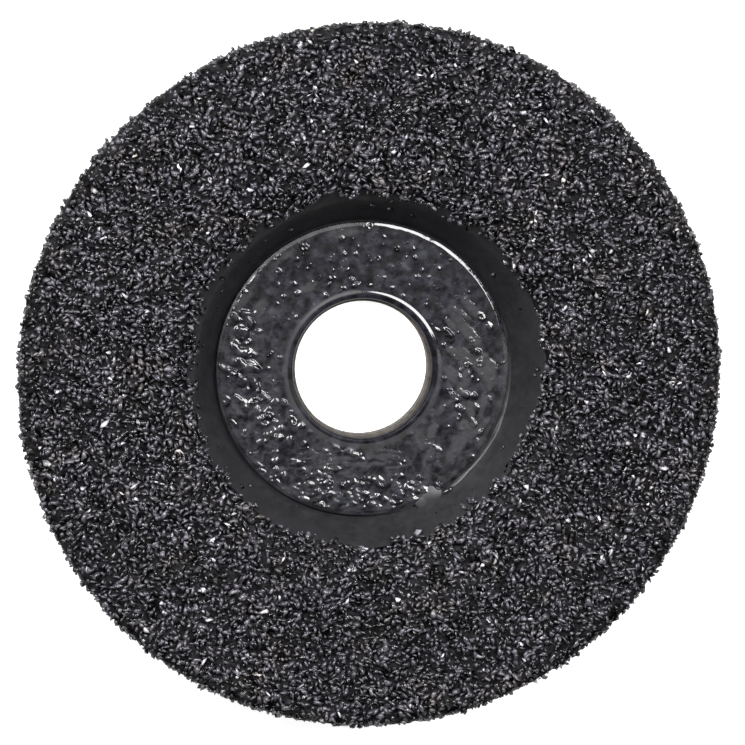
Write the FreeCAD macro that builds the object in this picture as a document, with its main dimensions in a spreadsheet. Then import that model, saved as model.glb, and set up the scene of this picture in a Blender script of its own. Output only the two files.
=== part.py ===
"""Carving disc for an angle grinder: a pressed steel dish with brazed carbide grit.

A flat reinforcing ring lies in the dish, round the bore, and takes the grinder's clamp nut.

Frame: millimetres, +Z along the spindle towards the working face. The origin is on the spindle
axis, in the plane of the hub's back face, which is what the disc lies on.
"""
import FreeCAD, Part
import math
import os
import random
import Sketcher

SIZES = [
    # alias, value, meaning
    ("disc_diameter", 85.0, "over the grit"),
    ("bore_diameter", 16.0, "hole for the spindle"),
    ("gauge", 2.0, "thickness of the steel dish"),
    ("hub_radius", 17.75, "foot of the wall, on the working side"),
    ("recess_depth", 6.7, "dish floor to the corner where wall and face lines meet"),
    ("wall_angle", 58.0, "slope of the wall between hub and face, degrees"),
    ("face_slope", 2.0, "rise of the working face towards the rim, degrees"),
    ("foot_bend", 0.4, "bend radius between dish floor and wall, working side"),
    ("shoulder_bend", 5.0, "bend radius between wall and face, working side"),
    ("rim_front_round", 0.8, "rounding of the rim towards the working side"),
    ("rim_back_round", 0.7, "rounding of the rim towards the back"),
    ("bore_burr", 0.2, "rounding of both edges of the dish's bore"),
    ("ring_thickness", 0.8, "reinforcing ring in the dish"),
    ("ring_radius", 17.5, "outside of the reinforcing ring"),
    ("ring_bore_radius", 8.4, "hole of the reinforcing ring"),
    ("ring_round", 0.35, "rounding of the ring's outer edge"),
    ("ring_rollover", 0.55, "rounding of the ring's bore"),
    ("film", 0.08, "thickness of the black lacquer"),
    ("braze", 0.2, "thickness of the braze that holds the grit"),
    ("grain_height", 0.55, "carbide grain above the braze"),
    ("grain_width", 0.8, "carbide grain across its base"),
    ("grain_pitch", 2.1, "spacing of the modelled grains"),
    ("grit_start", 21.5, "where the grit begins on the working side"),
    ("grit_back_start", 37.0, "where the grit begins on the back"),
]

GRAIN_SIDES = 5
FACE_RINGS = 8
STRAY_COUNT = 12
QUARTERS = 4

# Distance of each of the steel's two surfaces from its front surface.
STEEL_FRONT = "0 mm"
STEEL_BACK = "sizes.gauge * 1 mm"


def make_sheet(doc):
    sheet = doc.addObject("Spreadsheet::Sheet", "sizes")
    for row, (alias, value, meaning) in enumerate(SIZES, start=1):
        sheet.set(f"A{row}", alias)
        sheet.set(f"B{row}", str(value))
        sheet.set(f"C{row}", meaning)
        sheet.setAlias(f"B{row}", alias)
    doc.recompute()
    return sheet


class Terms:
    """The section's corner points, as expressions on the sheet and as numbers."""

    def __init__(self, sheet):
        self.sheet = sheet
        for alias, _value, _meaning in SIZES:
            setattr(self, alias, float(sheet.get(alias)))
        self.rim_radius = self.disc_diameter / 2 - self.braze - self.grain_height
        self.hub_floor = self.film + self.gauge
        self.wall = math.radians(self.wall_angle)
        self.slope = math.radians(self.face_slope)
        self.shoulder_radius = self.hub_radius + self.recess_depth / math.tan(self.wall)
        self.shoulder_floor = self.hub_floor + self.recess_depth
        self.arc_tangent = self.shoulder_bend * math.tan((self.wall - self.slope) / 2)
        self.arc_start = self.shoulder_radius - self.arc_tangent * math.cos(self.wall)
        self.arc_end = self.shoulder_radius + self.arc_tangent * math.cos(self.slope)

    def face_line(self, radius):
        """Height of the straight working face's line at a radius."""
        return self.shoulder_floor + (radius - self.shoulder_radius) * math.tan(self.slope)

    def front(self, radius):
        """Height and slope of the steel's front surface at a radius."""
        if radius <= self.hub_radius:
            return self.hub_floor, 0.0
        if radius <= self.arc_start:
            return self.hub_floor + (radius - self.hub_radius) * math.tan(self.wall), self.wall
        if radius >= self.arc_end:
            return self.face_line(radius), self.slope
        centre_r = self.arc_start + self.shoulder_bend * math.sin(self.wall)
        start = self.hub_floor + (self.arc_start - self.hub_radius) * math.tan(self.wall)
        centre_z = start - self.shoulder_bend * math.cos(self.wall)
        angle = math.asin((centre_r - radius) / self.shoulder_bend)
        return centre_z + self.shoulder_bend * math.cos(angle), angle


def bind(obj, prop, expression):
    obj.setExpression(prop, expression)


def section_corners(front, back, rim_grow):
    """Radius and height expressions of a plate's corners, round the section from the bore's top.

    front and back are how far the two surfaces lie above and below the steel's front surface.
    """
    wall = "sizes.wall_angle * 1 deg"
    slope = "sizes.face_slope * 1 deg"
    bore = "sizes.bore_diameter / 2 * 1 mm"
    rim = ("((sizes.disc_diameter / 2 - sizes.braze - sizes.grain_height) * 1 mm"
           f" + {rim_grow})")
    floor = "(sizes.film + sizes.gauge) * 1 mm"
    foot = "sizes.hub_radius * 1 mm"
    shoulder = f"(sizes.hub_radius + sizes.recess_depth / tan({wall})) * 1 mm"
    shoulder_floor = "(sizes.film + sizes.gauge + sizes.recess_depth) * 1 mm"
    turn = f"(1 + cos({wall} - {slope}))"
    shoulder_out = f"(sin({wall}) + sin({slope})) / {turn}"
    shoulder_up = f"(cos({wall}) + cos({slope})) / {turn}"
    rim_line = f"{shoulder_floor} + ({rim} - {shoulder}) * tan({slope})"
    return [
        (bore, f"{floor} + {front}"),
        (f"{foot} - {front} * tan({wall} / 2)", f"{floor} + {front}"),
        (f"{shoulder} - {front} * {shoulder_out}", f"{shoulder_floor} + {front} * {shoulder_up}"),
        (rim, f"{rim_line} + {front} / cos({slope})"),
        (rim, f"{rim_line} - {back} / cos({slope})"),
        (f"{shoulder} + {back} * {shoulder_out}", f"{shoulder_floor} - {back} * {shoulder_up}"),
        (f"{foot} + {back} * tan({wall} / 2)", f"{floor} - {back}"),
        (bore, f"{floor} - {back}"),
    ]


def round_radii(front, back, rim_grow):
    """Radius expression of the round at each corner of section_corners, in its order."""
    return [
        "sizes.bore_burr * 1 mm",
        f"sizes.foot_bend * 1 mm - {front}",
        f"sizes.shoulder_bend * 1 mm + {front}",
        f"sizes.rim_front_round * 1 mm + {rim_grow}",
        f"sizes.rim_back_round * 1 mm + {rim_grow}",
        f"sizes.shoulder_bend * 1 mm - {back}",
        f"sizes.foot_bend * 1 mm + {back}",
        "sizes.bore_burr * 1 mm",
    ]


def value_of(obj, expression):
    return float(obj.evalExpression(expression).Value)


def draw_section(body, corners):
    """Closed section in the XZ plane, each corner held by its radius and its height."""
    sketch = body.newObject("Sketcher::SketchObject", "section")
    plane = [item for item in body.Origin.OriginFeatures if item.Role == "XZ_Plane"][0]
    sketch.AttachmentSupport = (plane, "")
    sketch.MapMode = "FlatFace"
    points = [FreeCAD.Vector(value_of(sketch, r), value_of(sketch, z), 0) for r, z in corners]
    for index, point in enumerate(points):
        sketch.addGeometry(Part.LineSegment(point, points[(index + 1) % len(points)]), False)
    for index in range(len(points)):
        following = (index + 1) % len(points)
        sketch.addConstraint(Sketcher.Constraint("Coincident", index, 2, following, 1))
    for index, (radius, height) in enumerate(corners):
        across = sketch.addConstraint(
            Sketcher.Constraint("DistanceX", -1, 1, index, 1, points[index].x))
        bind(sketch, f"Constraints[{across}]", radius)
        up = sketch.addConstraint(
            Sketcher.Constraint("DistanceY", -1, 1, index, 1, points[index].y))
        bind(sketch, f"Constraints[{up}]", height)
    return sketch, points


def edge_at(shape, radius, height):
    """Name of the circular edge about the axis with this radius and height."""
    for number, edge in enumerate(shape.Edges, start=1):
        curve = edge.Curve
        if not isinstance(curve, Part.Circle):
            continue
        if abs(curve.Radius - radius) < 1e-4 and abs(curve.Center.z - height) < 1e-4:
            return f"Edge{number}"
    raise ValueError(f"no edge at radius {radius} and height {height}")


def turned_body(doc, name, corners, radii):
    """A body turned about the axis from a section of straight lines, rounded at its corners.

    radii holds one expression for each corner, or None where the corner stays sharp.
    """
    body = doc.addObject("PartDesign::Body", name)
    body.Label = name
    sketch, points = draw_section(body, corners)
    doc.recompute()
    feature = body.newObject("PartDesign::Revolution", "turned")
    feature.Profile = sketch
    feature.ReferenceAxis = (sketch, ["V_Axis"])
    feature.Angle = 360
    doc.recompute()
    for point, radius in zip(points, radii):
        if radius is None:
            continue
        rounded = body.newObject("PartDesign::Fillet", "round")
        rounded.Base = (feature, [edge_at(feature.Shape, point.x, point.y)])
        bind(rounded, "Radius", radius)
        doc.recompute()
        feature = rounded
    body.Tip = feature
    return body


def plate(doc, name, front, back, rim_grow="0 mm"):
    """A plate that follows the disc's dished section, rounded at every corner."""
    corners = section_corners(front, back, rim_grow)
    return turned_body(doc, name, corners, round_radii(front, back, rim_grow))


def flat_ring(doc, name, grow):
    """The reinforcing ring's shape, grown on every side but its underside."""
    inner = f"sizes.ring_bore_radius * 1 mm - {grow}"
    outer = f"sizes.ring_radius * 1 mm + {grow}"
    low = "(sizes.film + sizes.gauge) * 1 mm"
    high = f"{low} + sizes.ring_thickness * 1 mm + {grow}"
    corners = [(inner, low), (outer, low), (outer, high), (inner, high)]
    radii = [None, None, f"sizes.ring_round * 1 mm + {grow}",
             f"sizes.ring_rollover * 1 mm + {grow}"]
    return turned_body(doc, name, corners, radii)


def cylinder(doc, name, radius, low, high):
    """Cylinder about the axis, between two heights."""
    solid = doc.addObject("Part::Cylinder", name)
    bind(solid, "Radius", radius)
    bind(solid, "Height", f"({high}) - ({low})")
    bind(solid, "Placement.Base.z", low)
    return solid


def boolean(doc, kind, name, base, tool):
    result = doc.addObject(kind, name)
    result.Base = base
    result.Tool = tool
    return result


def zone(doc, name, inner, outer, low, high):
    """Ring-shaped space between two radii and two heights."""
    whole = cylinder(doc, f"{name}_outer", outer, low, high)
    hole = cylinder(doc, f"{name}_inner", inner, low, high)
    return boolean(doc, "Part::Cut", name, whole, hole)


def layer(doc, name, grown, steel, space):
    """What a grown plate adds to the steel, within a space."""
    skin = boolean(doc, "Part::Cut", f"{name}_skin", grown, steel)
    result = boolean(doc, "Part::Common", name, skin, space)
    result.Label = name
    return result


def make_lacquers(doc, steel, ring):
    """The black lacquer: films on the ring, the wall's two sides and the hub's back."""
    film = "sizes.film * 1 mm"
    front_plate = plate(doc, "front_lacquered", film, STEEL_BACK)
    back_plate = plate(doc, "back_lacquered", STEEL_FRONT, f"(sizes.gauge * 1 mm + {film})")
    grown_ring = flat_ring(doc, "ring_lacquered", film)
    floor = "(sizes.film + sizes.gauge) * 1 mm"
    rollover = "(sizes.film + sizes.gauge + sizes.ring_thickness - sizes.ring_rollover) * 1 mm"
    foot = "sizes.hub_radius * 1 mm"
    grit = "sizes.grit_start * 1 mm"
    back_grit = "sizes.grit_back_start * 1 mm"
    top = "sizes.disc_diameter / 4 * 1 mm"
    below = "-1 mm"
    film_edge = "(sizes.ring_radius + sizes.film) * 1 mm"
    bore_back = "(sizes.bore_diameter / 2 + sizes.bore_burr) * 1 mm"
    whole = cylinder(doc, "ring_space_outer", foot, floor, top)
    bare_bore = cylinder(doc, "bare_bore", "sizes.ring_bore_radius * 1 mm", floor, rollover)
    ring_space = boolean(doc, "Part::Cut", "ring_space", whole, bare_bore)
    wall_space = zone(doc, "wall_space", film_edge, grit, below, top)
    hub_back_space = zone(doc, "hub_back_space", bore_back, foot, below, film)
    wall_back_space = zone(doc, "wall_back_space", foot, back_grit, below, top)
    return [
        layer(doc, "ring_lacquer", grown_ring, ring, ring_space),
        layer(doc, "wall_lacquer", front_plate, steel, wall_space),
        layer(doc, "hub_back_lacquer", back_plate, steel, hub_back_space),
        layer(doc, "wall_back_lacquer", back_plate, steel, wall_back_space),
    ]


def make_braze(doc, steel):
    """The braze: one layer over the working face, round the rim and onto the back."""
    grow = "sizes.braze * 1 mm"
    grown = plate(doc, "brazed", grow, f"(sizes.gauge * 1 mm + {grow})", rim_grow=grow)
    top = "sizes.disc_diameter / 4 * 1 mm"
    middle = "(sizes.film + sizes.recess_depth + sizes.gauge / 2) * 1 mm"
    everything = zone(doc, "grit_space", "sizes.grit_start * 1 mm",
                      "sizes.disc_diameter / 2 * 1 mm", "-1 mm", top)
    bare_back = cylinder(doc, "bare_back", "sizes.grit_back_start * 1 mm", "-1 mm", middle)
    space = boolean(doc, "Part::Cut", "braze_space", everything, bare_back)
    return layer(doc, "braze_layer", grown, steel, space)


def pyramid(rng, width, height):
    """A sharp grain on the plane Z=0: an uneven base polygon and a tip off its centre."""
    start = rng.uniform(0, 2 * math.pi)
    base = []
    for side in range(GRAIN_SIDES):
        angle = start + 2 * math.pi * (side + rng.uniform(-0.2, 0.2)) / GRAIN_SIDES
        reach = width / 2 * rng.uniform(0.75, 1.0)
        base.append(FreeCAD.Vector(reach * math.cos(angle), reach * math.sin(angle), 0))
    tip = FreeCAD.Vector(width * rng.uniform(-0.12, 0.12), width * rng.uniform(-0.12, 0.12), height)
    faces = [Part.Face(Part.makePolygon(base + base[:1]))]
    for index, corner in enumerate(base):
        following = base[(index + 1) % GRAIN_SIDES]
        faces.append(Part.Face(Part.makePolygon([corner, following, tip, corner])))
    solid = Part.Solid(Part.Shell(faces))
    if solid.Volume < 0:
        solid.reverse()
    return solid


def seat(solid, radius, height, normal, azimuth):
    """Stand a solid on the section point (radius, height), its Z along the section's normal.

    normal is the angle from +Z towards the rim, and azimuth is the place round the disc.
    """
    tilt = FreeCAD.Rotation(FreeCAD.Vector(0, 1, 0), math.degrees(normal))
    solid.Placement = FreeCAD.Placement(FreeCAD.Vector(radius, 0, height), tilt)
    turn = FreeCAD.Placement(FreeCAD.Vector(), FreeCAD.Rotation(FreeCAD.Vector(0, 0, 1), azimuth))
    solid.Placement = turn.multiply(solid.Placement)
    return solid


def ring_of_grains(terms, rng, radius, height, normal):
    """Grains round one circle. Each quarter repeats the first, so the disc runs true."""
    count = round(2 * math.pi * radius / terms.grain_pitch / QUARTERS)
    step = 360 / QUARTERS / count
    first = rng.uniform(0, step)
    grains = []
    for index in range(count):
        tall = terms.grain_height if index == 0 else terms.grain_height * rng.uniform(0.75, 1.0)
        grain = pyramid(rng, terms.grain_width * rng.uniform(0.8, 1.0), tall)
        azimuth = first + step * (index + rng.uniform(-0.12, 0.12))
        for quarter in range(QUARTERS):
            turn = azimuth + 360 / QUARTERS * quarter
            grains.append(seat(grain.copy(), radius, height, normal, turn))
    return grains


def group(doc, name, solids):
    node = doc.addObject("Part::Feature", name)
    node.Label = name
    node.Shape = Part.makeCompound(solids)
    node.Placement = FreeCAD.Placement()
    return node


def front_ring(terms, rng, radius):
    """Ring of grains on the braze above the steel's front surface."""
    height, slope = terms.front(radius)
    out = radius - terms.braze * math.sin(slope)
    up = height + terms.braze * math.cos(slope)
    return ring_of_grains(terms, rng, out, up, -slope)


def make_face_grit(doc, terms):
    """Rings of grains from the shoulder to the rim's rounding."""
    first = terms.arc_end + terms.grain_pitch / 2
    last = terms.rim_radius - terms.rim_front_round - terms.grain_width / 2
    step = (last - first) / (FACE_RINGS - 1)
    nodes = []
    for number in range(1, FACE_RINGS + 1):
        rng = random.Random(number)
        radius = first + step * (number - 1)
        nodes.append(group(doc, f"face_grit_{number}", front_ring(terms, rng, radius)))
    return nodes


def make_throat_grit(doc, terms):
    """Two rings of grains on the shoulder's bend."""
    rng = random.Random(20)
    low = terms.grit_start + terms.grain_width / 2
    high = terms.arc_end - terms.grain_width
    return group(doc, "throat_grit", front_ring(terms, rng, low) + front_ring(terms, rng, high))


def make_rim_grit(doc, terms):
    """One ring of grains on each of the rim's two rounds, and one on its edge."""
    cos_slope = math.cos(terms.slope)
    reach = terms.rim_front_round + terms.braze
    centre_r = terms.rim_radius - terms.rim_front_round
    centre_z = terms.face_line(centre_r) - terms.rim_front_round / cos_slope
    diagonal = math.radians(45)
    nodes = [group(doc, "rim_grit_front", ring_of_grains(
        terms, random.Random(30), centre_r + reach * math.sin(diagonal),
        centre_z + reach * math.cos(diagonal), diagonal))]
    edge_z = (terms.face_line(terms.rim_radius) - terms.gauge / cos_slope / 2
              + (terms.rim_back_round - terms.rim_front_round) / 2)
    nodes.append(group(doc, "rim_grit_edge", ring_of_grains(
        terms, random.Random(31), terms.rim_radius + terms.braze, edge_z, math.radians(90))))
    reach = terms.rim_back_round + terms.braze
    centre_r = terms.rim_radius - terms.rim_back_round
    centre_z = terms.face_line(centre_r) - (terms.gauge - terms.rim_back_round) / cos_slope
    nodes.append(group(doc, "rim_grit_back", ring_of_grains(
        terms, random.Random(32), centre_r + reach * math.sin(diagonal),
        centre_z - reach * math.cos(diagonal), math.radians(135))))
    return nodes


def make_back_grit(doc, terms):
    """Two rings of grains on the back of the rim."""
    rng = random.Random(40)
    solids = []
    low = terms.grit_back_start + terms.grain_width / 2
    for radius in (low, low + terms.grain_pitch):
        under = (terms.gauge / math.cos(terms.slope)) + terms.braze / math.cos(terms.slope)
        height = terms.face_line(radius) - under
        solids += ring_of_grains(terms, rng, radius, height, math.pi - terms.slope)
    return group(doc, "back_grit", solids)


def make_stray_grit(doc, terms):
    """Single grains that strayed onto the wall below the grit's edge."""
    rng = random.Random(60)
    solids = []
    lowest = terms.hub_radius + terms.grain_width
    highest = terms.arc_start
    for index in range(STRAY_COUNT):
        radius = rng.uniform(lowest, highest)
        height, slope = terms.front(radius)
        out = radius - terms.film * math.sin(slope)
        up = height + terms.film * math.cos(slope)
        grain = pyramid(rng, terms.grain_width * 0.6, terms.grain_height * 0.5)
        azimuth = 360 * (index + rng.uniform(0.1, 0.9)) / STRAY_COUNT
        solids.append(seat(grain, out, up, -slope, azimuth))
    return group(doc, "stray_grit", solids)


def check(doc, parts):
    for obj in doc.Objects:
        if {"Invalid", "Error"} & set(obj.State):
            raise RuntimeError(f"{obj.Label} did not build: {obj.State}")
    for part in parts:
        if part.Shape.isNull() or not part.Shape.isValid():
            raise RuntimeError(f"{part.Label} has no valid shape")


def main():
    doc = FreeCAD.newDocument("carving_disc")
    sheet = make_sheet(doc)
    terms = Terms(sheet)
    steel = plate(doc, "steel_dish", STEEL_FRONT, STEEL_BACK)
    ring = flat_ring(doc, "hub_ring", "0 mm")
    parts = [steel, ring, make_braze(doc, steel)]
    parts += make_lacquers(doc, steel, ring)
    parts += make_face_grit(doc, terms)
    parts += make_rim_grit(doc, terms)
    parts += [
        make_throat_grit(doc, terms),
        make_back_grit(doc, terms),
        make_stray_grit(doc, terms),
    ]
    doc.recompute()
    check(doc, parts)
    os.makedirs("parts", exist_ok=True)
    for part in parts:
        part.Shape.exportStep(f"parts/{part.Label}.step")
        print(part.Label, len(part.Shape.Solids), "solids", round(part.Shape.Volume, 3), "mm3")


main()
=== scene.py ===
import math

import bmesh
import bpy
import numpy as np
from mathutils import Matrix, Vector


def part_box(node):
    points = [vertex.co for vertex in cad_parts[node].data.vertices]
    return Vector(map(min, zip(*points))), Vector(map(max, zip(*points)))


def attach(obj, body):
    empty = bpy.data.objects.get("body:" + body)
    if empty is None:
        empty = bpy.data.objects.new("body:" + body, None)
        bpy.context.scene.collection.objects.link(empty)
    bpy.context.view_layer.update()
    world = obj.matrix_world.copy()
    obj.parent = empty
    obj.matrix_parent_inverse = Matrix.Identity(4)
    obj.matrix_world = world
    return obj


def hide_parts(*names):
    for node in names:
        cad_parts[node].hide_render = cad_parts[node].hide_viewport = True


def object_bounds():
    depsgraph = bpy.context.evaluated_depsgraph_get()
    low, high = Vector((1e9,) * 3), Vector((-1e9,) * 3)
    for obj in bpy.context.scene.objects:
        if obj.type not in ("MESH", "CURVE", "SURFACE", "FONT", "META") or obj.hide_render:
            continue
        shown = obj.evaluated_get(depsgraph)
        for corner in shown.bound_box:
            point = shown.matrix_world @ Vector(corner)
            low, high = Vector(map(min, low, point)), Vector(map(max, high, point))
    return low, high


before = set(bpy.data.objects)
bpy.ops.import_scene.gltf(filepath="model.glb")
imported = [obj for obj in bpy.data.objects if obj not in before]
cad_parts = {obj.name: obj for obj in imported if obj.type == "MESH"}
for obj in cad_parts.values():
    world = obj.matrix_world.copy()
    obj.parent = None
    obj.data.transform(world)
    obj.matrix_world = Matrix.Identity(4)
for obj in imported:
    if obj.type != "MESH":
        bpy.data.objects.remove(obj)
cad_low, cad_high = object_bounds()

MM = 0.001
BODY = "root"

# ---------------------------------------------------------------- sizes, in millimetres
# They are the CAD's, apart from the lip and the bevel, which only the Blender coat has.
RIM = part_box("steel_dish")[1].x / MM
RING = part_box("hub_ring")[1].x / MM
DISH_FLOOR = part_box("hub_ring")[0].z / MM
RING_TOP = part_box("hub_ring")[1].z / MM
FILM = 0.08
GAUGE = 2.0
HUB = 17.75
RECESS = 6.7
WALL = math.radians(58.0)
SLOPE = math.radians(2.0)
FOOT_BEND = 0.4
SHOULDER_BEND = 5.0
RIM_FRONT_ROUND = 0.8
RIM_BACK_ROUND = 0.7
RING_BORE = 8.4
RING_ROLLOVER = 0.55
LIP_FLANK = 0.28
LIP_FOOT = 0.25
BEVEL_LEAN = math.radians(17.5)
BEVEL_START = 0.3
BEVEL = 0.37
BEVEL_END = 0.12
BRAZE = 0.2
GRIT_START = 21.5
GRIT_BACK_START = 37.0
FACE_RINGS = 8


# ---------------------------------------------------------------- the disc's section
class Section:
    """The section of a round surface, walked from its inner edge over the working face.

    lean is the angle of the outward normal from +Z towards the rim. The walk keeps the solid on
    its right, so a convex bend adds to lean and a concave one takes from it.
    """

    STEP = 0.01

    def __init__(self, radius, height, lean):
        self.radius, self.height, self.lean = [radius], [height], [lean]
        self.length = [0.0]
        self.marks = {}

    def mark(self, name):
        """Remember how far along the walk this place is."""
        self.marks[name] = self.length[-1]

    def add(self, radius, height, lean, run):
        self.radius.append(radius)
        self.height.append(height)
        self.lean.append(lean)
        self.length.append(self.length[-1] + run)

    def straight(self, run):
        lean = self.lean[-1]
        for _ in range(max(1, round(run / self.STEP))):
            piece = run / max(1, round(run / self.STEP))
            self.add(self.radius[-1] + piece * math.cos(lean),
                     self.height[-1] - piece * math.sin(lean), lean, piece)

    def bend(self, bend_radius, lean_after):
        """Turn the walk on a circle until its normal leans by lean_after."""
        lean = self.lean[-1]
        turn = lean_after - lean
        side = math.copysign(bend_radius, turn)
        centre_r = self.radius[-1] - side * math.sin(lean)
        centre_z = self.height[-1] - side * math.cos(lean)
        count = max(4, round(abs(turn) * bend_radius / self.STEP))
        for index in range(1, count + 1):
            angle = lean + turn * index / count
            self.add(centre_r + side * math.sin(angle), centre_z + side * math.cos(angle),
                     angle, abs(turn) * bend_radius / count)

    def close(self):
        """Turn the lists into arrays, once the walk is complete."""
        self.length = np.array(self.length)
        self.radius = np.array(self.radius)
        self.height = np.array(self.height)
        self.lean = np.array(self.lean)

    def at(self, along):
        """Radius, height and lean at a distance along the walk."""
        return (np.interp(along, self.length, self.radius),
                np.interp(along, self.length, self.height),
                np.interp(along, self.length, self.lean))

    def where(self, radius, low, high):
        """Distance along the walk, between two marks, at which a radius is reached."""
        inside = (self.length >= self.marks[low]) & (self.length <= self.marks[high])
        order = np.argsort(self.radius[inside])
        return float(np.interp(radius, self.radius[inside][order], self.length[inside][order]))


def walk_dish():
    """The dish from just under the ring's edge, over the face and rim, to the outer back."""
    foot_cut = FOOT_BEND * math.tan(WALL / 2)
    shoulder_cut = SHOULDER_BEND * math.tan((WALL - SLOPE) / 2)
    front_cut = RIM_FRONT_ROUND * math.tan((math.pi / 2 + SLOPE) / 2)
    back_cut = RIM_BACK_ROUND * math.tan((math.pi / 2 - SLOPE) / 2)
    shoulder = HUB + RECESS / math.tan(WALL)
    face = (RIM - shoulder) / math.cos(SLOPE)
    walk = Section(RING - 0.3, DISH_FLOOR, 0.0)
    walk.mark("floor")
    walk.straight(HUB - foot_cut - RING + 0.3)
    walk.mark("foot")
    walk.bend(FOOT_BEND, -WALL)
    walk.mark("wall")
    walk.straight(RECESS / math.sin(WALL) - foot_cut - shoulder_cut)
    walk.mark("shoulder")
    walk.bend(SHOULDER_BEND, -SLOPE)
    walk.mark("face")
    walk.straight(face - shoulder_cut - front_cut)
    walk.mark("rim_front")
    walk.bend(RIM_FRONT_ROUND, math.pi / 2)
    walk.mark("edge")
    walk.straight(GAUGE / math.cos(SLOPE) - front_cut - back_cut)
    walk.mark("rim_back")
    walk.bend(RIM_BACK_ROUND, math.pi - SLOPE)
    walk.mark("back")
    walk.straight((RIM - GRIT_BACK_START) / math.cos(SLOPE) - back_cut)
    walk.mark("end")
    walk.close()
    return walk


def walk_coat():
    """The lacquer on the ring, from the bore over a raised lip, the face and a bevelled edge."""
    turn = RING_ROLLOVER + FILM
    lip_rise = LIP_FLANK * math.sin(BEVEL_LEAN) + (turn + LIP_FOOT) * (1 - math.cos(BEVEL_LEAN))
    walk = Section(RING_BORE - FILM, RING_TOP - RING_ROLLOVER + lip_rise, -math.pi / 2)
    walk.bend(turn, BEVEL_LEAN)
    walk.mark("lip")
    walk.straight(LIP_FLANK)
    walk.bend(LIP_FOOT, 0.0)
    walk.mark("face")
    bevel = (BEVEL_START * math.sin(BEVEL_LEAN) + BEVEL * math.cos(BEVEL_LEAN)
             + BEVEL_END * (1 - math.sin(BEVEL_LEAN)))
    walk.straight(RING + FILM - bevel - walk.radius[-1])
    walk.mark("bevel")
    walk.bend(BEVEL_START, BEVEL_LEAN)
    walk.straight(BEVEL)
    walk.bend(BEVEL_END, math.pi / 2)
    walk.mark("edge")
    walk.straight(walk.height[-1] - DISH_FLOOR)
    walk.mark("end")
    walk.close()
    return walk


SECTION = walk_dish()
COAT = walk_coat()


def surface_points(section, along, azimuth, lift):
    """Points standing lift above a section, and the outward normals there, as arrays."""
    radius, height, lean = section.at(along)
    out = radius + lift * np.sin(lean)
    up = height + lift * np.cos(lean)
    points = np.stack([out * np.cos(azimuth), out * np.sin(azimuth), up + 0 * azimuth], axis=-1)
    normals = np.stack([np.sin(lean) * np.cos(azimuth), np.sin(lean) * np.sin(azimuth),
                        np.cos(lean) + 0 * azimuth], axis=-1)
    return points, normals


# ---------------------------------------------------------------- noise
LATTICE = 48


def ease(share):
    """Turn a straight rise from 0 to 1 into one that starts and ends gently."""
    return share * share * (3 - 2 * share)


class Noise:
    """Smooth value noise in space, from -1 to 1, the same on every run."""

    def __init__(self, seed):
        self.table = np.random.default_rng(seed).uniform(-1, 1, (LATTICE,) * 3)

    def octave(self, points, size):
        scaled = points / size + 100.0
        cell = np.floor(scaled).astype(int)
        part = ease(scaled - cell)
        total = 0.0
        for corner in range(8):
            step = np.array([corner & 1, corner >> 1 & 1, corner >> 2 & 1])
            index = (cell + step) % LATTICE
            weight = np.prod(np.where(step == 1, part, 1 - part), axis=-1)
            total = total + weight * self.table[index[..., 0], index[..., 1], index[..., 2]]
        return total

    def fractal(self, points, size, octaves):
        """Octaves of noise added up, each about half as strong and as wide as the last."""
        total, strength, reach = 0.0, 1.0, 0.0
        for _ in range(octaves):
            total = total + strength * self.octave(points, size)
            reach += strength
            strength *= 0.5
            size /= 2.1
        return total / reach


# ---------------------------------------------------------------- meshes
def mesh_from(name, points_mm, faces):
    """Smooth-shaded object from an array of points and an array of equal-sided faces."""
    mesh = bpy.data.meshes.new(name)
    count, sides = faces.shape
    mesh.vertices.add(len(points_mm))
    mesh.vertices.foreach_set("co", (points_mm * MM).astype(np.float32).ravel())
    mesh.loops.add(count * sides)
    mesh.loops.foreach_set("vertex_index", faces.astype(np.int32).ravel())
    mesh.polygons.add(count)
    mesh.polygons.foreach_set("loop_start", np.arange(count, dtype=np.int32) * sides)
    mesh.polygons.foreach_set("use_smooth", np.full(count, True))
    mesh.update(calc_edges=True)
    mesh.validate()
    obj = bpy.data.objects.new(name, mesh)
    bpy.context.collection.objects.link(obj)
    return obj


def ring_mesh(name, points):
    """A closed band from a grid of points: rows go round the axis, columns along the section."""
    rows, columns, _ = points.shape
    index = np.arange(rows * columns).reshape(rows, columns)
    following = np.roll(index, -1, axis=0)
    faces = np.stack([index[:, :-1], following[:, :-1], following[:, 1:], index[:, 1:]], axis=-1)
    return mesh_from(name, points.reshape(-1, 3), faces.reshape(-1, 4))


def attribute(obj, name, values):
    """Store one number for each vertex, for a material to read."""
    layer = obj.data.attributes.new(name, "FLOAT", "POINT")
    layer.data.foreach_set("value", values.astype(np.float32).ravel())


def piece(obj, material, slot, *nodes):
    """Put a finished piece on the disc in place of its CAD nodes."""
    obj.data.materials.clear()
    obj.data.materials.append(material)
    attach(obj, BODY)
    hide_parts(*nodes)


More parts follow.
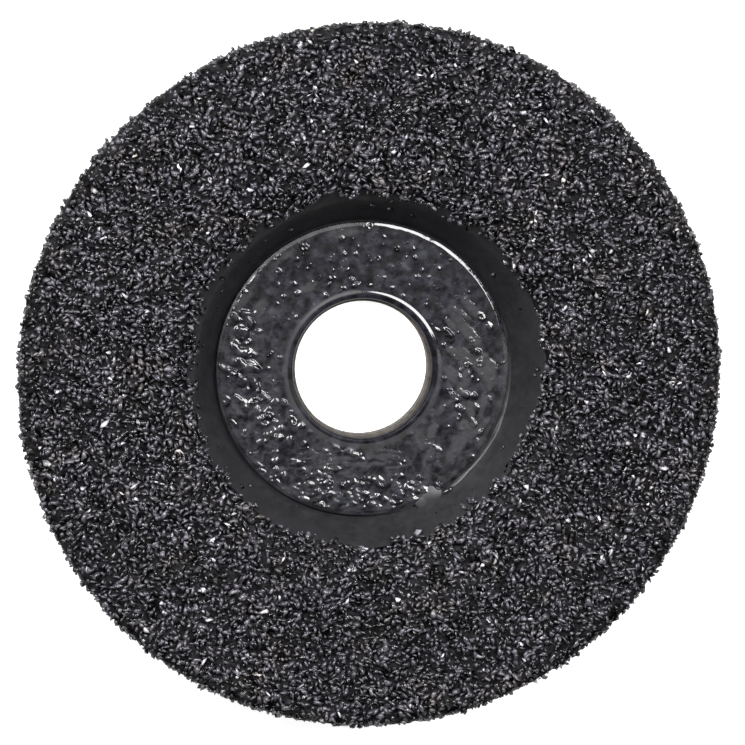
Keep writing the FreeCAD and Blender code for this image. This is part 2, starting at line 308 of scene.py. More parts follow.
# ---------------------------------------------------------------- materials
class Shader:
    """A Principled material and short ways to add nodes to it."""

    def __init__(self, name, **values):
        self.material = bpy.data.materials.new(name)
        self.material.use_nodes = True
        self.nodes = self.material.node_tree.nodes
        self.links = self.material.node_tree.links
        self.main = self.nodes["Principled BSDF"]
        for key, value in values.items():
            self.main.inputs[key.replace("_", " ")].default_value = value
        self.place = self.nodes.new("ShaderNodeTexCoord").outputs["Object"]

    def new(self, kind, **values):
        """Add a node, and set its inputs and settings by name."""
        node = self.nodes.new(kind)
        for key, value in values.items():
            target = node.inputs.get(key.replace("_", " "))
            if target is None:
                setattr(node, key, value)
            else:
                target.default_value = value
        return node

    def noise(self, size_mm, detail):
        """Noise whose features are about size_mm across, from 0 to 1."""
        node = self.new("ShaderNodeTexNoise", Scale=1 / (size_mm * MM), Detail=detail,
                        Roughness=0.55)
        self.links.new(self.place, node.inputs["Vector"])
        return node.outputs["Fac"]

    def ramp(self, source, stops):
        """Colours at positions from 0 to 1 along the source."""
        node = self.new("ShaderNodeValToRGB")
        band = node.color_ramp
        while len(band.elements) < len(stops):
            band.elements.new(0.5)
        for element, (position, colour) in zip(band.elements, stops):
            element.position = position
            element.color = (*colour, 1.0)
        self.links.new(source, node.inputs["Fac"])
        return node.outputs["Color"]

    def span(self, source, low, high, low_in=0.0, high_in=1.0):
        """Map low_in..high_in onto low..high, held at both ends."""
        node = self.new("ShaderNodeMapRange")
        node.inputs["From Min"].default_value = low_in
        node.inputs["From Max"].default_value = high_in
        node.inputs["To Min"].default_value = low
        node.inputs["To Max"].default_value = high
        self.links.new(source, node.inputs["Value"])
        return node.outputs["Result"]

    def mix(self, factor, first, second):
        """Blend two colours or sockets; factor may be a number or a socket."""
        node = self.new("ShaderNodeMix")
        node.data_type = "RGBA"
        for value, socket in ((factor, node.inputs[0]), (first, node.inputs[6]),
                              (second, node.inputs[7])):
            if isinstance(value, bpy.types.NodeSocket):
                self.links.new(value, socket)
            else:
                socket.default_value = value
        return node.outputs[2]

    def product(self, first, second):
        node = self.new("ShaderNodeMix", data_type="RGBA", blend_type="MULTIPLY")
        node.inputs[0].default_value = 1.0
        self.links.new(first, node.inputs[6])
        self.links.new(second, node.inputs[7])
        return node.outputs[2]

    def feed(self, source, socket):
        self.links.new(source, self.main.inputs[socket])

    def bump(self, source, depth_mm, strength=1.0):
        node = self.new("ShaderNodeBump", Strength=strength, Distance=depth_mm * MM)
        self.links.new(source, node.inputs["Height"])
        self.links.new(node.outputs["Normal"], self.main.inputs["Normal"])


def grit_material():
    """Broken carbide under black lacquer, with painted shade and light: near black and dull low on
    each grain, lightest and glossiest at its crest.
    """
    shader = Shader("carbide_grit")
    crest_shade = shader.new("ShaderNodeAttribute", attribute_name="crest_shade").outputs["Fac"]
    tone_and_glint = shader.new("ShaderNodeAttribute", attribute_name="tone_and_glint").outputs["Fac"]
    # Painted shade and light: the colour runs from near black low on each grain, where shade falls
    # between grains, to lightest at its crest.
    shade = shader.ramp(crest_shade, [(0.0, (0.0006, 0.0006, 0.0007)), (0.07, (0.0158, 0.0153, 0.0168)),
                              (0.5, (0.0280, 0.0272, 0.0296)), (0.95, (0.039, 0.0377, 0.0411))])
    # Tones vary at random, but those from 0.932 to 0.965 are painted glints, white in place of
    # facets catching the light.
    tones_and_glints = shader.ramp(tone_and_glint, [(0.0, (0.6, 0.6, 0.61)), (0.5, (0.95, 0.94, 0.97)),
                               (0.8, (1.25, 1.24, 1.28)), (0.93, (1.75, 1.73, 1.78)),
                               (0.932, (8.5, 8.6, 8.1)), (0.965, (8.5, 8.6, 8.1)),
                               (0.976, (1.45, 1.33, 1.22)),
                               (1.0, (1.2, 1.17, 1.02))])
    shade = shader.product(shade, tones_and_glints)
    clumps = shader.ramp(shader.noise(1.7, 2.0), [(0.38, (0.32, 0.32, 0.33)),
                                                  (0.62, (1.95, 1.92, 1.99))])
    shade = shader.product(shade, clumps)
    patches = shader.ramp(shader.noise(5.0, 4.0), [(0.35, (0.88, 0.87, 0.94)),
                                                   (0.55, (1.0, 1.0, 1.0)),
                                                   (0.72, (1.16, 1.05, 0.86))])
    shader.feed(shader.product(shade, patches), "Base Color")
    # Painted shade too: the specular is turned down low on each grain.
    shader.feed(shader.span(crest_shade, 0.02, 0.55, 0.0, 0.5), "Specular IOR Level")
    shader.feed(shader.span(shader.noise(1.2, 2.0), 0.16, 0.42, 0.35, 0.65), "Roughness")
    shader.bump(shader.noise(0.6, 1.0), 0.08, 0.6)
    return shader.material


def braze_material():
    """The lumpy braze between the grains. Its near-black colour and low specular are partly the
    lacquer's own black and partly painted shade in the gaps between the grains.
    """
    shader = Shader("braze", Specular_IOR_Level=0.03)
    # Painted shade in part: darker and duller than the lacquer on the grains' crests.
    shader.feed(shader.ramp(shader.noise(1.1, 3.0), [(0.38, (0.0006, 0.0006, 0.0007)),
                                                     (0.62, (0.0100, 0.0096, 0.0105)),
                                                     (0.75, (0.014, 0.0122, 0.0105))]),
                "Base Color")
    shader.feed(shader.span(shader.noise(0.6, 3.0), 0.25, 0.5, 0.3, 0.7), "Roughness")
    shader.bump(shader.noise(0.75, 1.5), 0.35, 1.0)
    return shader.material


def hub_material():
    """Glossy, slightly blue black lacquer, smeared and blistered."""
    shader = Shader("hub_lacquer")
    sheen = shader.new("ShaderNodeAttribute", attribute_name="sheen").outputs["Fac"]
    smear = shader.new("ShaderNodeAttribute", attribute_name="smear").outputs["Fac"]
    calm = shader.new("ShaderNodeAttribute", attribute_name="calm").outputs["Fac"]
    dulled = shader.mix(calm, (1.0, 1.0, 1.0, 1.0),
                        shader.span(shader.noise(0.9, 4.0), 0.5, 1.4, 0.36, 0.6))
    shader.feed(shader.product(sheen, dulled), "Specular IOR Level")
    base = shader.ramp(shader.noise(1.1, 5.0), [(0.34, (0.0010, 0.0010, 0.0014)),
                                                (0.5, (0.0055, 0.0055, 0.0078)),
                                                (0.68, (0.0175, 0.0172, 0.0240))])
    # The pale colour where smear is high is also painted light on the lip round the bore.
    shader.feed(shader.mix(smear, base, (0.022, 0.022, 0.0245, 1.0)), "Base Color")
    edges = shader.new("ShaderNodeAttribute", attribute_name="edge_roughness").outputs["Fac"]
    rough = shader.span(shader.noise(1.1, 4.0), 0.09, 0.27, 0.3, 0.7)
    shader.feed(shader.mix(calm, edges, rough), "Roughness")
    spots = shader.new("ShaderNodeTexVoronoi", Scale=1 / (0.55 * MM))
    shader.links.new(shader.place, spots.inputs["Vector"])
    blisters = shader.span(spots.outputs["Distance"], 1.0, 0.0, 0.08, 0.34)
    blisters = shader.product(blisters, shader.span(shader.noise(1.3, 2.0), 0.0, 1.0, 0.46, 0.6))
    skin = shader.product(calm, shader.mix(0.35, blisters, shader.noise(0.7, 1.0)))
    shader.bump(skin, 0.045, 0.8)
    return shader.material


def satin_material(name, dark, light, low, high):
    """Satin black lacquer with faint mottling."""
    shader = Shader(name, Specular_IOR_Level=0.45)
    shader.feed(shader.ramp(shader.noise(3.0, 5.0), [(0.3, dark), (0.75, light)]), "Base Color")
    shader.feed(shader.span(shader.noise(0.9, 4.0), low, high, 0.3, 0.7), "Roughness")
    shader.bump(shader.noise(0.35, 4.0), 0.012, 0.6)
    return shader.material


def steel_material():
    """Bare pressed steel, browned by the brazing heat."""
    shader = Shader("bare_steel", Metallic=0.25, Specular_IOR_Level=0.2)
    shader.feed(shader.ramp(shader.noise(1.0, 6.0), [(0.3, (0.030, 0.026, 0.022)),
                                                     (0.7, (0.075, 0.066, 0.057))]), "Base Color")
    shader.feed(shader.span(shader.noise(0.6, 4.0), 0.45, 0.75, 0.3, 0.7), "Roughness")
    shader.bump(shader.noise(0.15, 3.0), 0.01, 0.5)
    return shader.material


# ---------------------------------------------------------------- the grit
# Sizes here are in millimetres too, apart from GRAIN_TILT, which is in radians.
GRAIN_SHAPES = 64
BIG_SPACING = 0.86
SMALL_SPACING = 0.53
CANDIDATES_PER_PLACE = 5
# No grain stands further than this above the braze, nor above the ceiling, which keeps the disc
# within 3% of the CAD's height.
GRAIN_TOP = 0.75
GRIT_CEILING = cad_high.z / MM + 0.25
# The coat thins out towards its edge over about this far, and starts this far outside it.
EDGE_FADE = 0.7
EDGE_OVERLAP = 0.5
GRAIN_TILT = 0.38
# How much longer or shorter than its size a grain is, along its own three axes.
LONG_GRAIN = (1.52, 0.86, 0.8)
RIM_GRAIN = (1.15, 0.95, 0.9)
# Radius, lift of the middle above the braze, and the highest tone. The tones from 0.932 to 0.965
# are painted glints: white grains in place of facets catching the light.
BIG_GRAINS = ((0.41, 0.64), (0.06, 0.36), 0.94)
SMALL_GRAINS = ((0.28, 0.47), (0.0, 0.28), 1.0)
STRAY_GRAINS = ((0.22, 0.46), (-0.2, -0.04), 0.3)
STRAY_COUNT = 60
# The rim's grains sit this much deeper, or the outline would be spiky.
RIM_SINK = 0.24
# The braze thins out over its taper, to end just inside the steel.
BRAZE_TAPER = 0.5
BRAZE_TUCK = 0.02


def stone_hull(rng, count, flat):
    """Corners and triangles of one angular stone, about 1 in radius."""
    stone = bmesh.new()
    directions = rng.normal(size=(count, 3))
    directions /= np.linalg.norm(directions, axis=1)[:, None]
    for spot in directions * rng.uniform(0.75, 1.15, count)[:, None] * (1, 1, flat):
        stone.verts.new(spot)
    hull = bmesh.ops.convex_hull(stone, input=stone.verts)
    loose = {item for item in hull["geom_interior"] + hull["geom_unused"]
             if isinstance(item, bmesh.types.BMVert)}
    bmesh.ops.delete(stone, geom=list(loose), context="VERTS")
    bmesh.ops.recalc_face_normals(stone, faces=stone.faces)
    stone.verts.index_update()
    points = np.array([vertex.co[:] for vertex in stone.verts])
    faces = np.array([[vertex.index for vertex in face.verts] for face in stone.faces])
    stone.free()
    return points, faces


def grain_shapes(rng):
    """Broken carbide: a few angular stones grown into one another."""
    shapes = []
    for _ in range(GRAIN_SHAPES):
        points, faces = stone_hull(rng, 9, rng.uniform(0.6, 1.0))
        all_points, all_faces = [points], [faces]
        for _ in range(int(rng.integers(0, 3))):
            more, more_faces = stone_hull(rng, 7, rng.uniform(0.6, 1.0))
            aside = rng.normal(size=3)
            aside *= 0.62 / np.linalg.norm(aside)
            all_faces.append(more_faces + sum(len(part) for part in all_points))
            all_points.append(more * rng.uniform(0.45, 0.7) + aside)
        shapes.append((np.concatenate(all_points), np.concatenate(all_faces)))
    return shapes


def laid_turns(rng, normals, azimuth):
    """Turns that lay each grain's long axis near the surface, pointing any way along it."""
    count = len(azimuth)
    forward = np.stack([-np.sin(azimuth), np.cos(azimuth), np.zeros(count)], axis=-1)
    across = np.cross(normals, forward)
    heading, roll = rng.uniform(0, 2 * math.pi, (2, count, 1))
    tilt = rng.normal(0, GRAIN_TILT, (count, 1))
    flat = np.cos(heading) * forward + np.sin(heading) * across
    side = np.cross(normals, flat)
    long = np.cos(tilt) * flat + np.sin(tilt) * normals
    top = np.cross(long, side)
    second = np.cos(roll) * side + np.sin(roll) * top
    return np.stack([long, second, np.cross(long, second)], axis=-1)


def scatter(rng, start, end, start_edge, spacing):
    """Places for grains, none nearer to another than about the spacing."""
    area = 2 * math.pi * RIM * (end - start)
    candidates = int(CANDIDATES_PER_PLACE * area / spacing ** 2)
    along = rng.uniform(start, end, candidates)
    radius = SECTION.at(along)[0]
    keep = rng.uniform(0, RIM, candidates) < radius
    along = along[keep]
    azimuth = rng.uniform(0, 2 * math.pi, len(along))
    ragged = 1.1 * np.clip(Noise(61).octave(surface_points(SECTION, along, azimuth, 0.0)[0], 1.5),
                           -0.3, 1.0)
    fade = rng.exponential(EDGE_FADE, len(along)) - EDGE_OVERLAP
    keep = along > start_edge(azimuth) + fade + ragged
    along, azimuth = along[keep], azimuth[keep]
    points, _ = surface_points(SECTION, along, azimuth, BRAZE)
    gaps = (spacing * rng.uniform(0.8, 1.25, len(along))) ** 2
    keys = [tuple(key) for key in np.floor(points / (spacing * 1.25)).astype(int).tolist()]
    spots = points.tolist()
    around = [(a, b, c) for a in (-1, 0, 1) for b in (-1, 0, 1) for c in (-1, 0, 1)]
    taken, chosen = {}, []
    for index, ((a, b, c), (x, y, z)) in enumerate(zip(keys, spots)):
        gap = gaps[index]
        near = (other for da, db, dc in around
                for other in taken.get((a + da, b + db, c + dc), ()))
        if any((x - u) ** 2 + (y - v) ** 2 + (z - w) ** 2 < gap for u, v, w in near):
            continue
        taken.setdefault((a, b, c), []).append((x, y, z))
        chosen.append(index)
    return along[chosen], azimuth[chosen]


def grain_cloud(rng, shapes, along, azimuth, grains, sink=0.0, form=LONG_GRAIN):
    """Many grains seated on the section: corners, triangles, crest shares and tones, whose highest
    tones are painted glints.

    A corner's crest share is 0 low on its grain and 1 at the grain's highest point.
    """
    sizes, lifts, brightest = grains
    count = len(along)
    size = rng.uniform(*sizes, count)
    points, normals = surface_points(SECTION, along, azimuth, BRAZE)
    pile = 0.16 * Noise(41).octave(points, 1.3)
    centres = points + normals * (rng.uniform(*lifts, count) - sink + pile)[:, None]
    stretch = rng.uniform(0.8, 1.1, (count, 3)) * form * size[:, None]
    turns = laid_turns(rng, normals, azimuth)
    kinds = rng.integers(0, len(shapes), count)
    tones_and_glints = rng.uniform(0, brightest, count)
    all_points, all_faces, all_crests, all_tones_and_glints, offset = [], [], [], [], 0
    for kind, (corners, faces) in enumerate(shapes):
        chosen = kinds == kind
        placed = np.einsum("nij,nvj->nvi", turns[chosen], corners * stretch[chosen][:, None, :])
        placed = placed + centres[chosen][:, None, :]
        heights = np.einsum("nvi,ni->nv", placed - points[chosen][:, None, :], normals[chosen])
        excess = np.maximum(heights.max(axis=1) - GRAIN_TOP, 0)[:, None]
        placed = placed - (excess * normals[chosen])[:, None, :]
        placed[..., 2] -= np.maximum(placed[..., 2].max(axis=1) - GRIT_CEILING, 0)[:, None]
        heights = heights - excess
        tallest = heights.max(axis=1)[:, None]
        crest = (heights - 0.25 * tallest) / np.maximum(0.75 * tallest, 0.05)
        number, each = placed.shape[0], placed.shape[1]
        steps = offset + np.arange(number) * each
        all_points.append(placed.reshape(-1, 3))
        all_faces.append((faces[None, :, :] + steps[:, None, None]).reshape(-1, 3))
        all_crests.append(np.clip(crest, 0, 1).reshape(-1))
        all_tones_and_glints.append(np.repeat(tones_and_glints[chosen], each))
        offset += number * each
    return (np.concatenate(all_points), np.concatenate(all_faces), np.concatenate(all_crests),
            np.concatenate(all_tones_and_glints))


def grain_mesh(name, clouds):
    """One mesh of several clouds of grains, with their crest shares and tones as attributes, from
    which the material paints shade low on each grain and white glints.
    """
    faces, offset = [], 0
    for cloud in clouds:
        faces.append(cloud[1] + offset)
        offset += len(cloud[0])
    obj = mesh_from(name, np.concatenate([cloud[0] for cloud in clouds]), np.concatenate(faces))
    attribute(obj, "crest_shade", np.concatenate([cloud[2] for cloud in clouds]))
    attribute(obj, "tone_and_glint", np.concatenate([cloud[3] for cloud in clouds]))
    return obj


def grit_edge(azimuth):
    """Where the grit begins: an uneven line round the wall, a little off the centre."""
    wobble = 0.85 * np.cos(azimuth - math.radians(120))
    for size, turns, phase in ((0.24, 3, 0.7), (0.2, 7, 2.0), (0.2, 13, 4.1), (0.16, 29, 0.0)):
        wobble = wobble + size * np.sin(turns * azimuth + phase)
    return SECTION.where(GRIT_START, "wall", "face") + wobble


def make_grit(material):
    """The dense coat of big and small grains, one piece for each zone of grains in the CAD."""
    rng = np.random.default_rng(11)
    shapes = grain_shapes(rng)
    marks = SECTION.marks
    start = SECTION.where(GRIT_START, "wall", "face") - 2.0
    big = scatter(rng, start, marks["end"], grit_edge, BIG_SPACING)
    small = scatter(rng, start, marks["end"], grit_edge, SMALL_SPACING)
    ring = np.linspace(marks["face"], marks["rim_front"], FACE_RINGS + 1)
    # The edge's zone takes the nearest third of the rounding on either side.
    round_end = (marks["rim_front"] + marks["edge"] * 2) / 3
    round_start = (marks["rim_back"] * 2 + marks["back"]) / 3
    zones = [("throat_grit", 0.0, ring[0])]
    zones += [(f"face_grit_{n + 1}", ring[n], ring[n + 1]) for n in range(FACE_RINGS)]
    zones += [("rim_grit_front", ring[-1], round_end), ("rim_grit_edge", round_end, round_start),
              ("rim_grit_back", round_start, marks["back"]), ("back_grit", marks["back"], math.inf)]
    for node, low, high in zones:
        clouds = []
        on_rim = node.startswith("rim_grit")
        sink, form = (RIM_SINK, RIM_GRAIN) if on_rim else (0.0, LONG_GRAIN)
        for (along, azimuth), grains in ((big, BIG_GRAINS), (small, SMALL_GRAINS)):
            inside = (along >= low) & (along < high)
            clouds.append(grain_cloud(rng, shapes, along[inside], azimuth[inside], grains, sink,
                                      form))
        piece(grain_mesh(f"dense_{node}", clouds), material, "grit", node)
    return rng, shapes


def make_stray(material, rng, shapes):
    """A few single grains on the wall."""
    low, high = SECTION.marks["wall"] + 0.4, SECTION.where(GRIT_START, "wall", "face") + 0.4
    along = low + (high - low) * rng.uniform(0, 1, STRAY_COUNT) ** 0.45
    azimuth = rng.uniform(0, 2 * math.pi, STRAY_COUNT)
    cloud = grain_cloud(rng, shapes, along, azimuth, STRAY_GRAINS)
    piece(grain_mesh("stray_grains", [cloud]), material, "grit", "stray_grit")


def make_braze(material):
    """The lumpy layer that the grains stand in."""
    rows, columns = 800, 116
    azimuth = np.linspace(0, 2 * math.pi, rows, endpoint=False)[:, None]
    start = grit_edge(azimuth) - 0.2
    share = np.linspace(0, 1, columns)[None, :]
    along = start + (SECTION.marks["end"] - start) * share
    spot, _ = surface_points(SECTION, along, azimuth + 0 * along, 0.0)
    lumps = Noise(5).fractal(spot, 0.9, 3)
    edge = np.clip((along - start) / BRAZE_TAPER, 0, 1)
    edge = np.minimum(edge, np.clip((SECTION.marks["end"] - along) / BRAZE_TAPER, 0, 1))
    lift = (BRAZE + BRAZE_TUCK + 0.09 * lumps) * ease(edge) - BRAZE_TUCK
    points, _ = surface_points(SECTION, along, azimuth + 0 * along, lift)
    piece(ring_mesh("braze_skin", points), material, "braze", "braze_layer")


# ---------------------------------------------------------------- the hub's working face
# Azimuths: where the ring's edge mirrors the side light, where the lip round the bore stands
# tallest, where the veins of thick lacquer are densest, where the edge's wear is softest, and
# where lacquer fills the groove beside the ring.
MIRROR_AZIMUTH = math.radians(52)
LIP_AZIMUTH = math.radians(72)
VEIN_AZIMUTH = math.radians(236)
SOFT_AZIMUTH = math.radians(-35)
FILL_AZIMUTH = math.radians(-30)
FILL_SINK = 0.12
DROP_SINK = 0.12
# ROLLED_SHEEN is painted shade: the bore's rolled edge gets little specular, so it shows a dark
# band in place of its reflection of the key light.
ROLLED_SHEEN = 0.1
FACE_SHEEN = 0.5


class Relief:
    """Heights and smears on a polar grid, built up from small features of uneven outline."""

    def __init__(self, spot, uneven):
        self.x = spot[..., 0] + uneven * Noise(31).fractal(spot, 0.8, 2)
        self.y = spot[..., 1] + uneven * Noise(32).fractal(spot, 0.8, 2)
        self.height = np.zeros_like(self.x)
        self.smear = np.zeros_like(self.x)

    def around(self, x, y, long, wide, turn):
        """Grid places near a feature, and how far out from its middle each is, squared."""
        reach = max(long, wide) * 1.3
        where = np.nonzero((np.abs(self.x - x) < reach) & (np.abs(self.y - y) < reach))
        dx, dy = self.x[where] - x, self.y[where] - y
        u = (dx * math.cos(turn) + dy * math.sin(turn)) / long
        v = (dy * math.cos(turn) - dx * math.sin(turn)) / wide
        return where, np.clip(u * u + v * v, 0, 1)

    def lump(self, x, y, long, wide, tall, turn=0.0):
        """A smooth mound of lacquer."""
        where, away = self.around(x, y, long, wide, turn)
        self.height[where] = np.maximum(self.height[where],
                                        tall * (1 - away) ** 2 * (1 + 2 * away))

    def crater(self, x, y, long, wide, tall, turn=0.0):
        """A burst bubble: a raised rim round a hollow."""
        where, away = self.around(x, y, long, wide, turn)
        self.height[where] += tall * ((1 - away) ** 2 * (1 + 2 * away)
                                      - 1.6 * np.clip(1 - away * 2.4, 0, 1) ** 2)

    def run(self, x, y, long, wide, tall, turn=0.0):
        """A flat-topped smear of thicker lacquer."""
        where, away = self.around(x, y, long, wide, turn)
        plateau = ease(np.clip((1 - away) / 0.75, 0, 1))
        self.height[where] = np.maximum(self.height[where], tall * plateau)
        self.smear[where] = np.maximum(self.smear[where], plateau)


def hub_features(relief):
    """Lumps, bubbles and runs, thick towards -X and -Y and thin elsewhere."""
    rng = np.random.default_rng(21)

    def patch(count, centre, spread, size, steep, turn=None, long=1.0, craters=0.15):
        """Lumps and craters spread about a centre; steep is their height over their width."""
        for _ in range(count):
            x = rng.normal(centre[0], spread[0])
            y = rng.normal(centre[1], spread[1])
            wide = rng.uniform(*size)
            angle = rng.uniform(0, math.pi) if turn is None else rng.normal(turn, 0.35)
            shape = relief.crater if rng.uniform() < craters else relief.lump
            shape(x, y, wide * rng.uniform(1.0, 1.0 + long), wide, wide * rng.uniform(*steep),
                  angle)

    patch(50, (-14.4, 0.8), (1.2, 4.0), (0.32, 0.75), (0.24, 0.42), turn=-0.7, long=1.3)
    patch(45, (-11.5, -6.5), (2.2, 2.6), (0.26, 0.55), (0.22, 0.38), long=1.2)
    patch(165, (-2.5, -14.9), (6.0, 1.2), (0.22, 0.46), (0.22, 0.40), turn=0.05, long=1.4)
    patch(60, (-3.0, -11.0), (5.0, 1.6), (0.25, 0.5), (0.10, 0.24), turn=0.0, long=3.0)
    patch(50, (-4.0, 12.5), (5.0, 2.4), (0.18, 0.40), (0.24, 0.45), long=0.4, craters=0.3)
    patch(30, (7.0, 8.5), (3.5, 3.5), (0.18, 0.34), (0.20, 0.40), long=0.4, craters=0.3)
    patch(52, (12.6, -1.0), (2.0, 5.0), (0.22, 0.5), (0.24, 0.42), turn=-1.0, long=1.2,
          craters=0.4)
    patch(240, (0.0, 0.0), (10.5, 10.5), (0.14, 0.28), (0.18, 0.40), long=0.4, craters=0.35)
    for _ in range(26):
        angle = rng.uniform(-1.15, 0.75)
        reach = rng.uniform(10.5, 16.2)
        lie = -0.9 + rng.normal(0, 0.2) if angle > -0.1 else 1.05 + rng.normal(0, 0.3)
        relief.run(reach * math.cos(angle), reach * math.sin(angle), rng.uniform(0.9, 2.4),
                   rng.uniform(0.3, 0.8), rng.uniform(0.02, 0.05), lie)
    relief.run(15.0, -0.4, 2.6, 1.3, 0.06, -1.2)
    relief.run(12.6, 4.2, 3.4, 0.9, 0.06, -0.85)
    relief.run(11.6, -9.2, 3.4, 1.0, 0.05, 1.0)
    for x, y, long, wide, turn in ((-2.4, 16.2, 2.6, 0.6, 0.1), (-12.4, 7.4, 1.8, 0.9, 1.0),
                                   (-10.6, -6.8, 1.7, 0.8, 0.6), (-15.2, -4.2, 1.4, 0.6, -1.2),
                                   (2.4, -10.6, 1.6, 0.5, 0.0), (-6.4, 9.8, 1.3, 0.6, 0.6),
                                   (-14.3, 8.4, 2.6, 0.6, 1.0), (-9.6, 13.4, 2.4, 0.5, 0.6)):
        relief.run(x, y, long, wide, 0.03, turn)
    for _ in range(16):
        relief.run(rng.uniform(-6, 6), rng.uniform(-13.2, -9.8), rng.uniform(0.9, 2.4),
                   rng.uniform(0.16, 0.34), 0.03, rng.normal(0.0, 0.1))
    relief.crater(-11.7, -6.0, 1.15, 1.0, 0.2, 0.5)
    relief.crater(14.0, 0.4, 0.6, 0.55, 0.2)
    relief.crater(12.6, 0.2, 0.5, 0.45, 0.2)
    relief.lump(14.2, -7.9, 0.5, 0.35, 0.3, 1.3)
    relief.lump(10.3, 4.2, 1.0, 0.42, 0.26, -0.8)
    relief.lump(-0.9, 9.9, 0.55, 0.32, 0.14, 0.1)
    relief.lump(0.7, 10.0, 0.45, 0.28, 0.12, -0.1)
    relief.lump(-2.4, 9.7, 0.4, 0.28, 0.12, 0.3)


def towards(azimuth, centre, base, gain):
    """A share from 0 to 1 that is largest at the azimuth centre and fades round the ring."""
    return np.clip(base + gain * np.cos(azimuth - centre), 0, 1)


def coat_grid():
    """Distances along the coat and azimuths, finest where the coat bends."""
    marks = COAT.marks
    azimuth = np.linspace(0, 2 * math.pi, 1000, endpoint=False)[:, None]
    along = np.concatenate([np.linspace(0, marks["face"], 15, endpoint=False),
                            np.linspace(marks["face"], marks["bevel"], 63, endpoint=False),
                            np.linspace(marks["bevel"], marks["edge"], 12, endpoint=False),
                            np.linspace(marks["edge"], marks["end"], 4)])[None, :]
    return along + 0 * azimuth, azimuth + 0 * along


def coat_calm(along, azimuth):
    """1 where lumps may be: the flat face, and the bevel where it mirrors no light."""
    marks = COAT.marks
    plain = np.clip((0.35 - np.cos(azimuth - MIRROR_AZIMUTH)) / 0.3, 0, 1)
    calm = np.clip((along - marks["face"]) / 0.4, 0, 1)
    return calm * np.clip((marks["bevel"] + 0.15 + 0.32 * plain - along) / 0.3, 0, 1)


def coat_veins(spot, azimuth):
    """Thin raised veins of lacquer, from 0 to 1."""
    lace = np.clip(0.5 + 0.65 * np.cos(azimuth - VEIN_AZIMUTH), 0.1, 1)
    lace = lace * np.clip(0.7 + 0.9 * Noise(73).octave(spot, 2.2), 0, 1)
    return lace * np.clip(1 - 3.6 * np.abs(Noise(74).fractal(spot, 0.95, 2)), 0, 1)


def coat_wear(along, azimuth, spot, mirror):
    """Where the coat is worn pale over the bevel, in patches that reach in onto the face."""
    marks = COAT.marks
    soft = towards(azimuth, SOFT_AZIMUTH, -0.7, 1.5)
    start = marks["bevel"] - 0.2 - 1.1 * np.clip(Noise(75).fractal(spot, 1.0, 2), 0, 1)
    start = start - 0.6 * soft
    worn = np.clip(0.55 + 0.9 * Noise(71).octave(spot, 0.9), 0, 1)
    worn = worn * (1 - 0.8 * mirror) * (1 - 0.4 * soft) * np.clip((along - start) / 0.2, 0, 1)
    worn = worn * np.clip(0.75 + 1.2 * Noise(76).octave(spot, 1.6), 0.25, 1)
    return worn * (along < marks["edge"])


def lip_painted_light(along, azimuth, spot):
    """Painted light: a pale colour on the lip and the bore's rounding towards -X, in place of the
    reflection that the flat face shows.
    """
    lip_light = 0.4 * towards(azimuth, math.pi, -0.3, 1.6) * (along < COAT.marks["face"])
    return lip_light * np.clip(0.8 + 0.8 * Noise(76).octave(spot, 0.8), 0.2, 1)


def lip_drop(along, azimuth):
    """How far the lip is pressed back to the face's level, away from LIP_AZIMUTH."""
    lip = np.clip(COAT.at(along)[1] - (RING_TOP + FILM), 0, None) * (along < COAT.marks["face"])
    return lip * (1 - towards(azimuth, LIP_AZIMUTH, 0.35, 0.9))


def make_hub(material):
    """The ring's lacquered face, from its bore's rounding over its outer edge.

    Its attributes are calm, which is 1 where lumps may be, smear, which is 1 where the lacquer is
    pale and also where light is painted on the lip round the bore, and sheen and edge_roughness,
    which set how the edges reflect; the low sheen on the bore's rolled edge is painted shade.
    """
    along, azimuth = coat_grid()
    spot, _ = surface_points(COAT, along, azimuth, 0.0)
    relief = Relief(spot, 0.22)
    hub_features(relief)
    calm = coat_calm(along, azimuth)
    veins = coat_veins(spot, azimuth)
    peel = 0.065 * Noise(7).fractal(spot, 1.2, 3) + 0.018 * Noise(8).octave(spot, 0.45)
    lift = (relief.height + peel + 0.035 * veins) * calm - lip_drop(along, azimuth)
    nick = Relief(spot, 0.0)
    nick.crater(0.9, 17.2, 0.45, 0.35, -0.14, 1.4)
    points, _ = surface_points(COAT, along, azimuth, lift + nick.height)
    skin = ring_mesh("ring_face", points)
    mirror = np.clip((np.cos(azimuth - MIRROR_AZIMUTH) - 0.70) / 0.12, 0, 1)
    pale = np.maximum(relief.smear, 0.9 * veins) * calm
    # Painted light on the lip and the bore's rounding towards -X.
    pale = np.maximum(pale, lip_painted_light(along, azimuth, spot))
    attribute(skin, "smear", np.maximum(pale, coat_wear(along, azimuth, spot, mirror)))
    attribute(skin, "calm", calm)
    rolled = along < COAT.marks["lip"] - 0.12
    attribute(skin, "edge_roughness", np.where(rolled, 0.35, 0.42 - 0.34 * mirror))
    # On the bore's rolled edge the sheen is turned down: painted shade in place of its reflection.
    attribute(skin, "sheen", np.where(rolled, ROLLED_SHEEN, FACE_SHEEN))
    add_drops(skin, ((8.1, -15.3, 1.55, 1.25, 0.36, 0.5, 0.75, 0.5),
                     (7.3, -15.9, 1.2, 0.9, 0.30, 0.6, 0.75, 0.5),
                     (10.2, -14.8, 0.75, 0.26, 0.40, 0.5, 0.3, 0.08),
                     (9.4, -14.0, 0.6, 0.26, 0.44, 2.2, 0.3, 0.08)))
    piece(skin, material, "ring_lacquer", "ring_lacquer")


